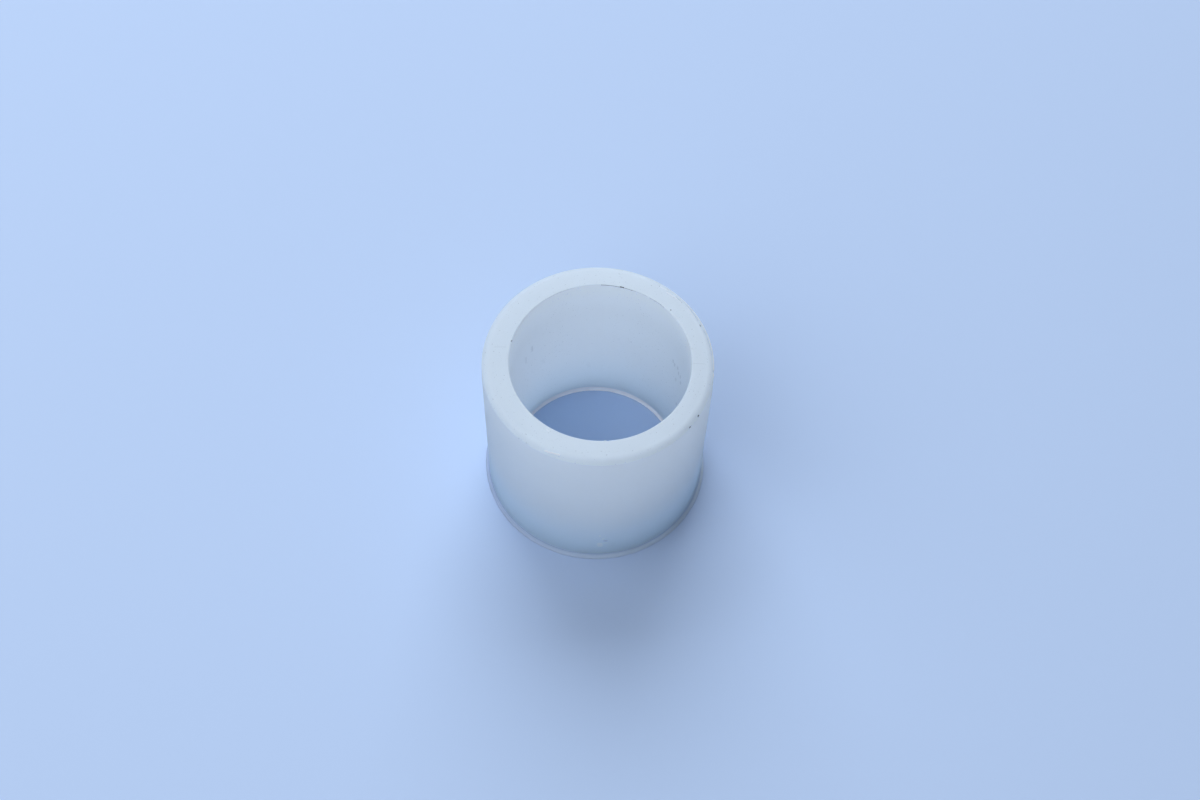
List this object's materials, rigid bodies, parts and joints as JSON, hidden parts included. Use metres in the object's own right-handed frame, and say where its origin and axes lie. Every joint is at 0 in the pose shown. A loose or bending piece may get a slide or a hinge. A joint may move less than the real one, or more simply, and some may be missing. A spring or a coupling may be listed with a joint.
{
  "type": "bushing",
  "caption": "Plain cylindrical sleeve bushing with a straight bore, a crowned edge at the nose and a thin flared lip at the foot; carries a shaft in a housing.",
  "frame": {"origin": "centre of the foot, where the bore axis meets the surface that the bushing stands on", "axes": "+Z along the bore axis, from the lipped foot towards the crowned nose; +X and +Y are free, because the part is round"},
  "size_m": [0.0332, 0.033, 0.0287],
  "materials": {
    "natural_plastic": "satin, milky and slightly translucent"
  },
  "bodies": {
    "root": {"bushing": "natural_plastic"}
  },
  "joints": []
}
